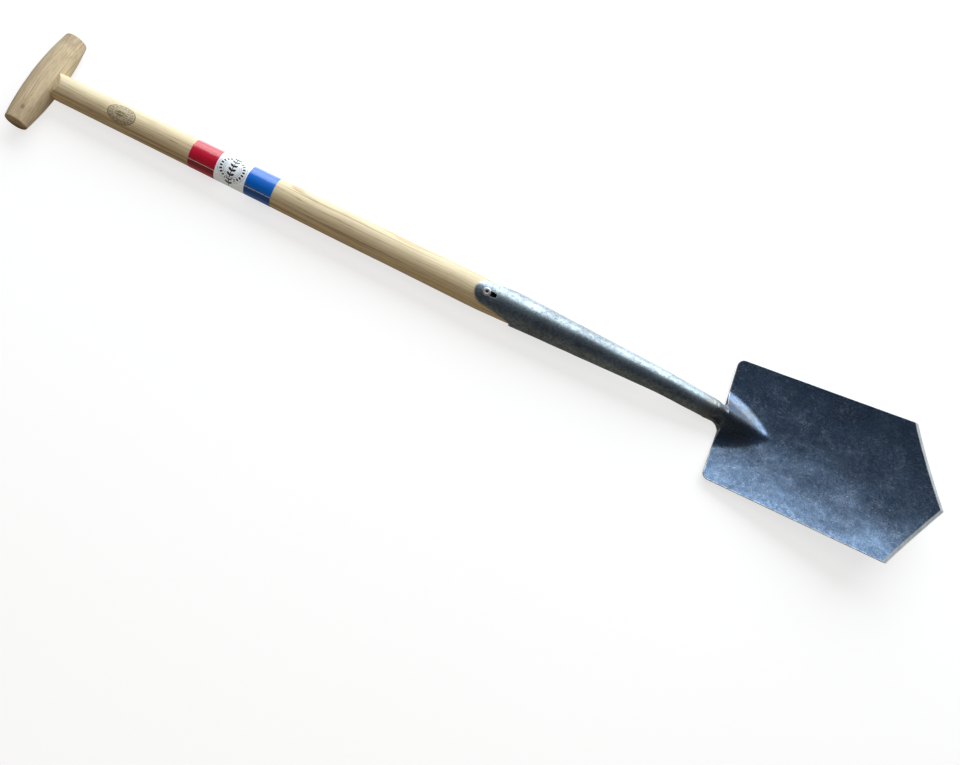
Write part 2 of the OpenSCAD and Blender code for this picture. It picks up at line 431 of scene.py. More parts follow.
def wood_figure(t, grain, side, face, heart, ring_mm, seed):
    """Growth rings, fibres and pores. grain runs with the fibres; heart is the tree's middle."""
    drift = t.noise(t.join(t.mul(grain, 5.0), t.mul(side, 16.0), t.add(t.mul(face, 16.0), seed)), 1.0, 2.0)
    sway = t.mul(t.sub(drift, 0.5), 20 * MM)
    off_side = t.sub(side, heart[0] * MM)
    off_face = t.sub(face, heart[1] * MM)
    distance = t.hypot(off_side, off_face)
    rings = t.div(t.add(distance, sway), ring_mm * MM)
    uneven = t.noise(t.join(t.mul(rings, 0.7), seed, 0.0), 1.0, 1.0)
    rings = t.add(rings, t.mul(uneven, 1.8))
    turn = t.math("FRACT", rings)
    early = t.mul(t.span(turn, 0.0, 0.07), t.span(turn, 0.10, 0.46, 1.0, 0.0))
    strength = t.noise(t.join(t.mul(grain, 4.0), t.math("FLOOR", rings), seed), 1.0, 1.0)
    early = t.mul(early, t.span(strength, 0.36, 0.66, 0.12, 1.0))
    place = (grain, side, face)
    fibres = t.noise(t.scaled(place, (12.0, 760.0, 760.0)), 1.0, 4.0, 0.65)
    pores = t.span(t.noise(t.scaled(place, (70.0, 1700.0, 1700.0)), 1.0, 1.0), 0.56, 0.68)
    pores = t.mul(pores, t.add(t.mul(early, 0.9), 0.10))
    return early, fibres, pores


def wood_colour(t, early, fibres, pores, pale, mid, dark):
    broad = t.noise(t.place, 9.0, 2.0)
    colour = t.blend(t.mul(early, 0.75), pale, mid)
    colour = t.blend(t.span(fibres, 0.40, 0.72, 0.0, 0.55), colour, mid)
    colour = t.blend(t.span(broad, 0.35, 0.75, 0.0, 0.22), colour, mid)
    return t.blend(t.mul(pores, 0.85), colour, dark)


def wood_relief(t, early, fibres, pores):
    height = t.sub(t.mul(fibres, 0.5), pores)
    return t.bump(t.sub(height, t.mul(early, 0.25)), 0.12, 0.55)


def dirt(t, colour, strength, dark):
    """Faint handling marks: soft blotches and a few small specks."""
    blotch = t.span(t.noise(t.place, 22.0, 4.0, 0.6, 0.6), 0.52, 0.78, 0.0, strength)
    colour = t.blend(blotch, colour, dark)
    speck = t.span(t.cells(t.place, 120.0), 0.05, 0.13, strength * 0.9, 0.0)
    return t.blend(speck, colour, dark)


def ash_grip():
    """Greyed by handling, with soft blotches, a small knot and dark sawn ends, whose lower part is also
    painted darker as shade.
    """
    t = Tree("ash_crossbar")
    x, y, z = t.split(t.place)
    early, fibres, pores = wood_figure(t, y, x, z, (-36.0, 32.0), 2.7, 3.1)
    colour = wood_colour(t, early, fibres, pores, tone(226, 208, 174), tone(188, 160, 122),
                         tone(116, 92, 66))
    grey = t.noise(t.scaled((x, y, z), (60.0, 22.0, 60.0)), 1.0, 3.0, 0.6)
    colour = t.blend(t.span(grey, 0.46, 0.70, 0.0, 0.50), colour, tone(162, 140, 114))
    colour = dirt(t, colour, 0.30, tone(128, 104, 80))
    reach = t.size(y)
    end_grain = t.span(reach, (BARREL_HALF - 0.2) * MM, (BARREL_HALF + 1.6) * MM)
    # Painted shade, with some dirt: the sawn ends grow darker towards their lower side.
    low_end_shade_and_dirt = t.span(t.add(z, t.mul(t.sub(grey, 0.5), 8 * MM)), -9 * MM, 7 * MM, 0.85, 0.15)
    colour = t.blend(t.mul(end_grain, low_end_shade_and_dirt), colour, tone(116, 88, 58))
    knot_x = t.sub(x, 4 * MM)
    knot_y = t.add(y, 47 * MM)
    knot = t.math("SQRT", t.add(t.mul(knot_x, knot_x), t.mul(t.mul(knot_y, knot_y), 0.35)))
    colour = t.blend(t.span(knot, 0.6 * MM, 2.6 * MM, 0.6, 0.0), colour, tone(112, 84, 58))
    rough = t.span(fibres, 0.3, 0.7, 0.52, 0.66)
    return t.surface(Base_Color=colour, Roughness=rough, Normal=wood_relief(t, early, fibres, pores),
                     Specular_IOR_Level=0.35)


def polar(t, across, along):
    """Distance and direction from a printed mark's middle."""
    return t.hypot(across, along), t.math("ARCTAN2", across, along)


def band(t, value, low, high, soft):
    """1 between low and high, 0 outside, with soft edges."""
    rise = t.span(value, low - soft, low + soft)
    fall = t.span(value, high - soft, high + soft, 1.0, 0.0)
    return t.mul(rise, fall)


def any_of(t, *masks):
    total = masks[0]
    for mask in masks[1:]:
        total = t.math("MAXIMUM", total, mask)
    return total


def leaf_mark(t, along, across, length, width, soft):
    """A plain leaf with a pale midrib, pointing along the mark's first direction."""
    bow = t.sub(1.0, t.math("POWER", t.size(t.div(along, length)), 2.0))
    side = t.size(across)
    inside = t.span(t.sub(t.mul(bow, width), side), 0.0, soft)
    rib = t.span(side, 0.25 * MM, 0.25 * MM + soft)
    return t.mul(inside, rib)


STAMP_X = 98.9
STAMP_ANGLE = radians(-12)
STAMP_HALF_LEN = 17.0
STAMP_HALF_WIDTH = 12.0


def around_shaft(t, x, y, z, start_x, start_angle, radius):
    """A place on the shaft's surface as a distance along it and an arc round it, in metres."""
    along = t.sub(x, start_x * MM)
    angle = t.sub(t.math("ARCTAN2", y, z), start_angle)
    return along, t.mul(angle, radius * MM)


def stamp_ink(t, x, y, z):
    """A worn oval ink stamp: two ovals, beads between them, and a leaf among short bars."""
    along, arc = around_shaft(t, x, y, z, STAMP_X, STAMP_ANGLE, 16.6)
    u = t.div(along, STAMP_HALF_LEN * MM)
    v = t.div(arc, STAMP_HALF_WIDTH * MM)
    far, direction = polar(t, v, u)
    outline = band(t, far, 0.90, 0.985, 0.02)
    inner = band(t, far, 0.62, 0.68, 0.02)
    beads = t.span(t.math("SINE", t.mul(direction, 17.0)), -0.35, 0.25)
    beads = t.mul(beads, band(t, far, 0.72, 0.85, 0.02))
    leaf = leaf_mark(t, t.sub(along, -1 * MM), arc, 8.0 * MM, 3.4 * MM, 0.3 * MM)
    bars = t.span(t.math("SINE", t.mul(arc, 2 * pi / (2.6 * MM))), 0.0, 0.4)
    chop = t.span(t.noise(t.join(t.mul(along, 420.0), t.mul(arc, 90.0), 4.0), 1.0, 1.0), 0.44, 0.52)
    bars = t.mul(t.mul(bars, chop), band(t, far, -1.0, 0.60, 0.03))
    worn = t.span(t.noise(t.place, 420.0, 3.0, 0.7), 0.34, 0.52, 0.5, 1.0)
    ink = t.mul(any_of(t, outline, inner, beads, leaf, bars), worn)
    wash = t.mul(band(t, far, -1.0, 0.95, 0.03), 0.34)
    front = t.span(z, 0.0, 1.0 * MM)
    return t.mul(t.math("MAXIMUM", ink, wash), front)


def ash_shaft():
    t = Tree("ash_shaft")
    x, y, z = t.split(t.place)
    early, fibres, pores = wood_figure(t, x, y, z, (-29.0, -34.0), 3.4, 0.7)
    colour = wood_colour(t, early, fibres, pores, tone(240, 226, 190), tone(206, 180, 136),
                         tone(134, 106, 72))
    colour = dirt(t, colour, 0.14, tone(170, 140, 102))
    streak = t.noise(t.scaled((x, y, z), (2.2, 170.0, 170.0)), 1.0, 2.0)
    colour = t.blend(t.span(streak, 0.58, 0.68, 0.0, 0.55), colour, tone(160, 126, 88))
    colour = t.blend(t.mul(stamp_ink(t, x, y, z), 0.72), colour, tone(44, 42, 42))
    # Painted shade: the wood seen through the tongue's slot is darkened almost to black, as the recess
    # lies in shade.
    slot_painted_shade = t.mul(band(t, x, (RIVET_X - 6) * MM, (RIVET_X + SLOT_LEN + 4) * MM, 1 * MM),
                   t.span(z, 11 * MM, 12 * MM))
    slot_painted_shade = t.mul(slot_painted_shade, t.span(t.size(y), 8 * MM, 9 * MM, 1.0, 0.0))
    colour = t.blend(t.mul(slot_painted_shade, 0.95), colour, tone(22, 19, 17))
    rough = t.span(fibres, 0.3, 0.7, 0.42, 0.56)
    return t.surface(Base_Color=colour, Roughness=rough, Normal=wood_relief(t, early, fibres, pores),
                     Specular_IOR_Level=0.45)


def wedge_wood():
    t = Tree("wedge_end_grain")
    x, y, z = t.split(t.place)
    early, fibres, pores = wood_figure(t, x, y, z, (5.0, 3.0), 1.4, 8.0)
    colour = wood_colour(t, early, fibres, pores, tone(176, 136, 92), tone(142, 102, 62),
                         tone(88, 60, 36))
    return t.surface(Base_Color=colour, Roughness=t.span(fibres, 0.3, 0.7, 0.5, 0.66),
                     Normal=wood_relief(t, early, fibres, pores))


# ---- steel ----

SCRATCH_WIDTH = 0.016               # as a share of the noise's height
CURL_WIDTH = 0.014


def scratches(t, turn, seed):
    """Short fine lines in one direction, in loose patches."""
    place = t.stretched(t.place, (42.0, 620.0, 42.0), (0.0, 0.0, turn), (seed, seed * 2, seed))
    lines = t.noise(place, 1.0, 2.0, 0.5, 0.35)
    line = t.span(t.size(t.sub(lines, 0.5)), 0.0, SCRATCH_WIDTH, 1.0, 0.0)
    patch = t.noise(t.stretched(t.place, (1, 1, 1), (0, 0, 0), (seed, 0, seed)), 60.0, 3.0, 0.65)
    return t.mul(line, t.span(patch, 0.49, 0.73))


def curl_marks(t):
    """Fine looping marks, as wiping and handling leave on a forged face."""
    loops = t.noise(t.place, 150.0, 2.0, 0.55, 1.8)
    line = t.span(t.size(t.sub(loops, 0.5)), 0.0, CURL_WIDTH, 1.0, 0.0)
    patch = t.span(t.noise(t.place, 40.0, 3.0, 0.6), 0.46, 0.62)
    return t.mul(line, patch)


SCRATCH_TURNS = (8.0, 47.0, 81.0, 118.0, 152.0)


def forged_steel(name, pale, deep, scratched, edge_low, edge_high, smoothest, grainy):
    """Dark forge finish: mottled, speckled and scratched, dressed smooth near the weld, and rubbed
    bright on its edges, partly as wear and partly as a painted highlight. Painted shade darkens the frog."""
    t = Tree(name)
    x, y, _ = t.split(t.place)
    cloud = t.noise(t.place, 15.0, 5.0, 0.62, 0.4)
    mottle = t.noise(t.place, 190.0, 4.0, 0.72)
    speckle = t.noise(t.place, 560.0, 2.0, 0.8)
    colour = t.blend(t.span(cloud, 0.32, 0.70), deep, pale)
    colour = t.blend(t.span(mottle, 0.40, 0.66, 0.0, 0.45), colour, tone(52, 60, 70))
    colour = t.blend(t.span(speckle, 0.54, 0.68, 0.0, grainy), colour, tone(186, 198, 210))
    colour = t.blend(t.span(speckle, 0.34, 0.47, grainy, 0.0), colour, tone(50, 60, 76))
    marks = curl_marks(t)
    for i, turn in enumerate(SCRATCH_TURNS[:scratched]):
        marks = t.math("MAXIMUM", marks, scratches(t, turn, 3.7 * i))
    marks = t.mul(marks, t.span(speckle, 0.35, 0.6, 0.45, 1.0))
    colour = t.blend(t.mul(marks, 0.62), colour, tone(206, 220, 236))
    dressed = t.mul(band(t, x, (WELD_X - 14) * MM, (TREAD_X - 3) * MM, 7 * MM),
                    t.span(t.size(y), 20 * MM, 24 * MM, 1.0, 0.0))
    colour = t.blend(t.mul(dressed, 0.8), colour, tone(138, 141, 140))
    # Painted shade: the frog and the tread round the neck are darkened to tone down their highlight.
    frog_painted_shade = t.mul(band(t, x, (TREAD_X - 8) * MM, (TREAD_X + 46) * MM, 14 * MM),
                  t.span(t.size(y), 20 * MM, 34 * MM, 1.0, 0.0))
    colour = t.blend(t.mul(frog_painted_shade, 0.55), colour, tone(98, 96, 88))
    # Bright edges: partly real wear, partly a painted highlight standing in for the glint on rounded edges
    # and the slot's rim.
    edge = t.attribute("edge_mm")
    wear_and_glint_reach = t.add(edge, t.mul(t.sub(mottle, 0.5), 1.6))
    worn = t.span(wear_and_glint_reach, edge_low, edge_high, 0.85, 0.0)
    colour = t.blend(worn, colour, tone(184, 194, 202))
    rough = t.add(t.span(mottle, 0.3, 0.7, smoothest, smoothest + 0.10), t.mul(t.sub(speckle, 0.5), 0.10))
    rough = t.add(rough, t.mul(marks, 0.10))
    relief = t.add(t.mul(mottle, 0.7), t.mul(speckle, 0.5))
    relief = t.sub(relief, t.mul(marks, 0.22))
    relief = t.mul(relief, t.sub(1.0, t.mul(dressed, 0.8)))
    return t.surface(Base_Color=colour, Roughness=rough, Metallic=0.92,
                     Normal=t.bump(relief, 0.09, 0.5))


def ground_steel():
    """The ground edge: bright, with grinding lines across it."""
    t = Tree("ground_edge")
    lines = t.noise(t.stretched(t.place, (900.0, 60.0, 60.0)), 1.0, 2.0)
    broad = t.noise(t.place, 60.0, 2.0)
    colour = t.blend(t.span(lines, 0.3, 0.7), tone(196, 202, 205), tone(216, 221, 223))
    colour = t.blend(t.span(broad, 0.45, 0.7, 0.0, 0.5), colour, tone(176, 184, 190))
    return t.surface(Base_Color=colour, Roughness=t.span(lines, 0.3, 0.7, 0.40, 0.55), Metallic=0.25,
                     Normal=t.bump(lines, 0.04, 0.5))


def dressed_steel():
    """The dressed weld: as dark as the forge finish, but smoother, with fine lines round it."""
    t = Tree("dressed_weld")
    fine = t.noise(t.stretched(t.place, (1600.0, 60.0, 60.0)), 1.0, 2.0)
    cloud = t.noise(t.place, 70.0, 4.0, 0.6)
    colour = t.blend(t.span(cloud, 0.3, 0.7), tone(128, 130, 129), tone(144, 146, 145))
    colour = t.blend(t.span(fine, 0.4, 0.75, 0.0, 0.4), colour, tone(160, 163, 163))
    return t.surface(Base_Color=colour, Roughness=t.span(fine, 0.3, 0.7, 0.36, 0.46), Metallic=0.92,
                     Normal=t.bump(fine, 0.05, 0.4))


def zinc_steel(name, base, dark):
    t = Tree(name)
    cloud = t.noise(t.place, 420.0, 4.0, 0.6)
    colour = t.blend(t.span(cloud, 0.42, 0.68), base, dark)
    return t.surface(Base_Color=colour, Roughness=t.span(cloud, 0.3, 0.7, 0.26, 0.46), Metallic=0.65,
                     Normal=t.bump(cloud, 0.06, 0.4))


# ---- label ----

LABEL_BANDS = (219.0, 257.0)        # where red ends and where blue starts
EMBLEM_X = 238.0
EMBLEM_ANGLE = radians(-14)


def emblem_ink(t, x, y, z):
    """A plain badge for the white band: rings, a ring of thick bars, and a sprig laid across it."""
    along, arc = around_shaft(t, x, y, z, EMBLEM_X, EMBLEM_ANGLE, 18.1)
    far, direction = polar(t, arc, along)
    outer = band(t, far, 16.9 * MM, 17.2 * MM, 0.10 * MM)
    inner = band(t, far, 10.2 * MM, 10.5 * MM, 0.10 * MM)
    middle = band(t, far, 8.6 * MM, 8.8 * MM, 0.10 * MM)
    bars = t.span(t.math("SINE", t.mul(direction, 22.0)), -0.30, 0.0)
    open_side = t.span(t.size(along), 4.0 * MM, 5.5 * MM)
    bars = t.mul(t.mul(bars, open_side), band(t, far, 12.0 * MM, 15.2 * MM, 0.15 * MM))
    stem = t.mul(band(t, along, -0.5 * MM, 0.5 * MM, 0.1 * MM), band(t, arc, -25 * MM, 17 * MM, 0.3 * MM))
    masks = [outer, inner, middle, bars, stem]
    for i in range(7):
        root = -20.0 + 5.6 * i
        for side in (-1, 1):
            turn = radians(90 - side * 52)
            c, s = cos(turn), sin(turn)
            from_root = t.sub(arc, (root + 2.0) * MM)
            from_stem = t.sub(along, side * 2.3 * MM)
            length = t.add(t.mul(from_stem, c), t.mul(from_root, s))
            width = t.sub(t.mul(from_root, c), t.mul(from_stem, s))
            bow = t.sub(1.0, t.math("POWER", t.div(length, 2.9 * MM), 2.0))
            leaf = t.sub(t.mul(bow, 1.5 * MM), t.size(width))
            masks.append(t.span(leaf, 0.0, 0.15 * MM))
    return any_of(t, *masks)


def label_film():
    t = Tree("label_film")
    x, y, z = t.split(t.place)
    soft = 0.15 * MM
    past_red = t.span(x, LABEL_BANDS[0] * MM - soft, LABEL_BANDS[0] * MM + soft)
    past_white = t.span(x, LABEL_BANDS[1] * MM - soft, LABEL_BANDS[1] * MM + soft)
    colour = t.blend(past_red, tone(206, 18, 52), tone(228, 236, 242))
    ink = t.mul(emblem_ink(t, x, y, z), t.span(y, -18 * MM, -17.4 * MM))
    colour = t.blend(ink, colour, tone(22, 26, 36))
    colour = t.blend(past_white, colour, tone(0, 112, 222))
    grain = t.noise(t.stretched(t.place, (30.0, 240.0, 240.0)), 1.0, 3.0)
    colour = t.blend(t.span(grain, 0.35, 0.75, 0.0, 0.10), colour, tone(60, 60, 70))
    angle = t.math("ARCTAN2", y, z)
    doubled = t.mul(t.span(angle, LABEL_EDGE - LABEL_OVERLAP, LABEL_EDGE - LABEL_OVERLAP + 0.03),
                    t.span(angle, LABEL_EDGE - 0.002, LABEL_EDGE, 1, 0))
    coloured = t.math("MAXIMUM", t.sub(1.0, past_red), past_white)
    # Painted light: the film glows faintly, most on the white band, to keep it pale on its shaded side.
    painted_glow = t.sub(0.24, t.mul(coloured, 0.21))
    shade = t.mul(doubled, t.add(0.04, t.mul(coloured, 0.46)))
    colour = t.blend(shade, colour, tone(16, 18, 30))
    # Painted highlight: a pale line along the film's lapped outer edge, where it catches the light.
    edge = t.span(t.size(t.sub(angle, LABEL_EDGE)), 0.012, 0.024, 0.95, 0.0)
    gaps = t.span(t.noise(t.stretched(t.place, (200.0, 1, 1)), 1.0, 2.0), 0.34, 0.44, 0.35, 1.0)
    colour = t.blend(t.mul(edge, gaps), colour, tone(240, 234, 236))
    return t.surface(Base_Color=colour, Roughness=t.span(grain, 0.3, 0.7, 0.24, 0.34),
                     Normal=t.bump(grain, 0.03, 0.5), Coat_Weight=0.6, Coat_Roughness=0.14,
                     Emission_Color=colour, Emission_Strength=painted_glow)


# ---- wooden pieces ----

def barrel_r(y):
    """The crossbar's radius, y away from its middle."""
    return GRIP_R - (GRIP_R - GRIP_END_R) * (y / BARREL_HALF) ** 2


def grip_profile():
    """(y, radius) from one end of the crossbar to the other."""
    base = GRIP_END_R - GRIP_RIM_R
    half = [(y, barrel_r(y)) for y in spread(0, BARREL_HALF, 40)]
    rim = [pi / 2 * i / 10 for i in range(1, 11)]
    half += [(BARREL_HALF + GRIP_RIM_R * sin(a) * 0.97, base + GRIP_RIM_R * cos(a))
             for a in rim]
    half += [(mix(GRIP_HALF, GRIP_HALF - GRIP_RIM_R * 0.03, (r / base) ** 2), r)
             for r in (5.5, 3.0, 0.8)]
    return [(-y, r) for y, r in reversed(half[1:])] + half


def rod(name, radius, x0, x1, sides=96):
    """A plain cutter along x."""
    return solid(name, [[around(x, radius, a) for a in ring_angles(sides)] for x in (x0, x1)])


def build_grip(material):

    def point(y, r, a):
        c, s = cos(a), sin(a)
        r += ripple((9 * c, y, 9 * s), 26, 0.22)
        return (r * c, y, r * s)

    piece = solid("crossbar", [[point(y, r, a) for a in ring_angles(128)] for y, r in grip_profile()])
    cut(piece, rod("mortise", TENON_R + 0.06, -GRIP_R - 5, GRIP_R + 5))
    return finish_piece(piece, "t_grip", [material])


def shaft_r(x):
    return along_table(SHAFT_STATIONS, x)


def socket_r(x):
    return SOCKET_R - SOCKET_SLOPE * (x - TONGUE_X)


def shaft_end_x(radius, angle):
    """Where the shaft's end face lies: coped to the crossbar, and bevelled in front and behind."""
    y, z = radius * sin(angle), radius * cos(angle)
    cope = sqrt(barrel_r(y) ** 2 - z ** 2) + 0.12
    front = radius * cos(angle + FRONT_TURN)
    bevel = BEVEL_TOP_X - (shaft_r(BEVEL_TOP_X) - abs(front)) / BEVEL_SLOPE
    return smooth_max(cope, bevel, 0.5)


def tenon_end_x(radius, angle):
    """The tenon's end is dressed flush with the back of the crossbar."""
    y, z = radius * sin(angle), radius * cos(angle)
    return -sqrt(barrel_r(y) ** 2 - z ** 2)


def shaft_rows():
    angles = ring_angles(144)

    def ring(radius, x_of):
        return [around(x_of(a), radius, a) for a in angles]

    tenon_r = TENON_R - 0.06
    rows = [ring(r, lambda a, r=r: tenon_end_x(r, a)) for r in (0.6, 2, 4, 6, 8, tenon_r - 0.3)]
    rows.append(ring(tenon_r - 0.08, lambda a: tenon_end_x(tenon_r, a) + 0.1))
    rows.append(ring(tenon_r, lambda a: tenon_end_x(tenon_r, a) + 0.35))
    for share in spread(0, 1, 6)[1:]:
        rows.append(ring(tenon_r, lambda a, s=share: mix(tenon_end_x(tenon_r, a) + 0.35,
                                                         shaft_end_x(tenon_r, a), s)))
    rim = shaft_r(BEVEL_TOP_X) - 0.5
    for r in spread(tenon_r, rim, 12)[1:]:
        rows.append(ring(r, lambda a, r=r: shaft_end_x(r, a)))
    rows.append(ring(rim + 0.36, lambda a: shaft_end_x(rim, a) + 0.16))
    first = 36.0
    for share in spread(0, 1, 8)[:-1]:
        starts = [(a, mix(shaft_end_x(rim, a) + 0.65, first, share)) for a in angles]
        rows.append([around(x, shaft_r(x), a) for a, x in starts])
    for x in spread(first, SHAFT_STATIONS[-1][0], 52):
        rows.append(ring(shaft_r(x), lambda a, x=x: x))
    for x in spread(SPIGOT_START, SPIGOT_END, 22):
        rows.append(ring(socket_r(x) - WALL - 0.05, lambda a, x=x: x))
    rows.append(ring(4.0, lambda a: SPIGOT_END))
    return rows


def turned_front(point):
    """Turns a point about the shaft's axis, from straight ahead to where the tongue is."""
    x, y, z = point
    c, s = cos(FRONT_TURN), sin(FRONT_TURN)
    return (x, y * c - z * s, y * s + z * c)


def slot_outline(grow, steps=16):
    """The slot's outline in plan, with a round end about the rivet and one at the far end."""
    radius = RIVET_BODY_R + grow
    far = RIVET_X + SLOT_LEN - RIVET_BODY_R
    near_end = [(RIVET_X - radius * sin(a), -radius * cos(a))
                for a in spread(0, pi, steps)]
    far_end = [(far + radius * sin(a), radius * cos(a)) for a in spread(0, pi, steps)]
    return near_end + far_end


def slot_cutter(name, levels):
    """A cutter through the slot: levels are (height above the shaft's axis, growth) pairs."""
    rows = [[turned_front((x, y, z)) for x, y in slot_outline(grow)] for z, grow in levels]
    return solid(name, rows)


def build_shaft(material):
    piece = solid("shaft_wood", shaft_rows())
    wedge = []
    for x, thick in ((-GRIP_R - 1, WEDGE_THICK / 2 + 0.08), (WEDGE_DEPTH - GRIP_R, 0.02)):
        wedge.append([(x, -thick, -20), (x, thick, -20), (x, thick, 20), (x, -thick, 20)])
    cut(piece, solid("wedge_slot", wedge))
    seat = socket_r(RIVET_X)
    cut(piece, slot_cutter("slot_in_wood", ((seat - 9, 0), (seat + 4, 0))))
    return finish_piece(piece, "shaft", [material])


def build_label(material):
    """One film wound once round the shaft, its outer end lapped over its inner end."""
    start = LABEL_EDGE - LABEL_OVERLAP
    total = 2 * pi + LABEL_OVERLAP
    turns = spread(0, total, 200)
    stations = spread(LABEL_START, LABEL_END, 52)

    def layer(turn, x, lift):
        lap = smoothstep(turn, 2 * pi - 0.10, 2 * pi)
        bubble = 0.04 * max(0.0, noise.noise(Vector((x / 9, turn * 2.2, 5.0))))
        return shaft_r(x) + 0.02 + lap * (LABEL_THICK + 0.02) + lift + bubble

    def strip(turn):
        a = start + turn
        out = [around(x, layer(turn, x, LABEL_THICK), a) for x in stations]
        back = [around(x, layer(turn, x, 0.0), a) for x in stations]
        return out + back[::-1]

    piece = solid("label_wrap", [strip(turn) for turn in turns])
    return finish_piece(piece, "label", [material])


# ---- rivet ----

def lathe_on_rivet(name, profile, sides=64):
    """Turns (height above the seat, radius) pairs about the rivet's own axis."""
    seat = socket_r(RIVET_X)
    rows = [[turned_front((RIVET_X + r * cos(a), r * sin(a), seat + h))
             for a in ring_angles(sides)] for h, r in profile]
    rows.append(rows[0])
    return new_object(name, *skin(rows))


def build_rivet(material):
    """A drawn hollow rivet: a domed flange with a rolled rim round its bore."""
    crown = [(RIVET_HEAD_H * sin(a) ** 0.8, RIVET_HEAD_R - 2.6 * (1 - cos(a)))
             for a in spread(0.0, pi / 2, 10)]
    mouth = [(RIVET_HEAD_H - 0.5 * (1 - cos(a)), RIVET_BORE_R + 0.5 * (1 - sin(a)))
             for a in spread(0, pi / 2, 6)]
    profile = [(-0.25, RIVET_HEAD_R - 0.25)] + crown + mouth
    profile += [(-4.0, RIVET_BORE_R), (-RIVET_LEN, RIVET_BORE_R), (-RIVET_LEN, RIVET_BODY_R - 0.05),
                (-0.3, RIVET_BODY_R - 0.05)]
    piece = lathe_on_rivet("rivet_head", profile)
    return finish_piece(piece, "rivet", [material])


# ---- socket ----

def tongue_half(x):
    """Half the tongue's width in plan, x along the shaft."""
    along = x - TONGUE_X
    if along <= TONGUE_R:
        return sqrt(max(TONGUE_R ** 2 - (TONGUE_R - along) ** 2, 0.0))
    sides = ((TONGUE_R, TONGUE_R), (36.0, 17.7), (52.0, 19.7), (55.8, 20.3), (TONGUE_LEN, 21.2))
    return along_table(sides, along)


def rim_x(angle):
    """Where the socket's rim lies, angle round from the tongue's middle."""
    a = abs((angle + pi) % (2 * pi) - pi)
    if a >= pi / 2:
        return RIM_X
    low, high = TONGUE_X, RIM_X
    for _ in range(40):
        middle = (low + high) / 2
        if tongue_half(middle) < socket_r(middle) * sin(a):
            low = middle
        else:
            high = middle
    return (low + high) / 2


def socket_angles():
    """Closer together across the tongue, where the rim's line changes fastest."""
    tongue = spread(-radians(84), radians(84), 168)
    rest = spread(radians(84), radians(276), 64)[1:-1]
    return tongue + rest


def neck_point(s, radius, angle):
    """A point on the neck: s along its axis from the socket's end, angle from the tongue's side."""
    bend = 26.0
    turn = NECK_ANGLE * smoothstep(s, -bend / 2, bend / 2)
    drop = tan(NECK_ANGLE) * max(0.0, s) if s > bend / 2 else tan(NECK_ANGLE) * (
        (s + bend / 2) ** 2 / (2 * bend) if s > -bend / 2 else 0.0)
    x = NECK_X + s * cos(NECK_ANGLE) if s > 0 else NECK_X + s
    y = radius * sin(angle)
    z = radius * cos(angle)
    return (x + z * sin(turn), y, -drop + z * cos(turn))


def neck_r(s):
    """The neck's radius, s along its axis from the socket's end."""
    weld = NECK_LEN - STUB_LEN - WELD_LEN
    if s <= 0:
        return socket_r(NECK_X + s)
    if s <= weld:
        return mix(NECK_START_R, WELD_R, s / weld)
    return mix(WELD_R, NECK_END_R, clamp((s - weld - WELD_LEN) / STUB_LEN))


def socket_surface(angle, x):
    """A point on the socket's outside. x may run on past the socket, along the neck."""
    s = x - NECK_X
    turned = angle - FRONT_TURN
    radius = neck_r(s)
    uneven = ripple((x, 14 * sin(turned), 14 * cos(turned)), 17, 0.22, 2.0)
    uneven *= smoothstep(x, TONGUE_X + 8, TONGUE_X + 40)
    uneven *= 1 - smoothstep(s, NECK_LEN - STUB_LEN - WELD_LEN - 10, NECK_LEN - STUB_LEN - WELD_LEN)
    return neck_point(s, radius + uneven, turned)


def socket_rows():
    angles = socket_angles()
    count = len(angles)
    rims = [rim_x(a) for a in angles]
    wall = WALL / 2

    def plan_point(i, radius):
        return Vector(around(rims[i % count], radius, angles[i % count] - FRONT_TURN))

    # The rim's section is a rounded edge, square to the rim's own line
    section = [radians(d) for d in (-90, -62, -38, -14, 14, 38, 62, 90)]
    rim_rows = [[] for _ in section]
    for i in range(count):
        a = angles[i] - FRONT_TURN
        radius = socket_r(rims[i]) - wall
        out = Vector((0, sin(a), cos(a)))
        tangent = (plan_point(i + 1, radius) - plan_point(i - 1, radius)).normalized()
        away = tangent.cross(out).normalized()
        if away.x > 0:
            away = -away
        middle = plan_point(i, radius) - away * wall
        for row, d in zip(rim_rows, section):
            lean = copysign(abs(sin(d)) ** 0.6, sin(d))
            reach = abs(cos(d)) ** 0.6
            row.append(tuple(middle - out * wall * lean + away * wall * reach))
    outer = []
    level = RIM_X + 22
    for share in spread(0, 1, 34)[1:]:
        outer.append([socket_surface(a, mix(rims[i] + 1.2, level, share ** 1.2))
                      for i, a in enumerate(angles)])
    end = NECK_X + NECK_LEN - STUB_LEN - WELD_LEN
    for x in spread(level, end, 110)[1:]:
        outer.append([socket_surface(a, x) for a in angles])
    inner = []
    for share in spread(0, 1, 14)[1:]:
        row = []
        for i, a in enumerate(angles):
            x = mix(rims[i] + 1.2, CAVITY_END, share)
            row.append(around(x, socket_r(x) - WALL, a - FRONT_TURN))
        inner.append(row)
    return inner[::-1] + rim_rows[::-1] + outer, angles, rims


def build_socket(material):
    rows, angles, rims = socket_rows()
    piece = solid("socket_steel", rows, sharp_deg=40)
    seat = socket_r(RIVET_X)
    levels = ((seat - WALL - 2, 0), (seat - 0.8, 0), (seat + 0.15, 0.95), (seat + 3, 3.8))
    cut(piece, slot_cutter("slot_in_tongue", levels), sharp_deg=40)
    outline = [(x, socket_r(x) * a) for x, a in zip(rims, angles)]

    def rim_distance(p):
        if p.x > RIM_X + 12:
            return 12.0
        a = atan2(p.y, p.z) + FRONT_TURN
        a = a if a > radians(-84) else a + 2 * pi
        arc = socket_r(p.x) * a
        slot_middle = clamp(p.x, RIVET_X, RIVET_X + SLOT_LEN - RIVET_BODY_R)
        across = socket_r(p.x) * sin(a) if abs(a) < pi / 2 else 30.0
        slot = abs(hypot(p.x - slot_middle, across) - RIVET_BODY_R) * 0.6
        return min(slot, min(hypot(p.x - x, arc - s) for x, s in outline))

    store_edge_distance(piece, rim_distance)
    return finish_piece(piece, "socket", [material])


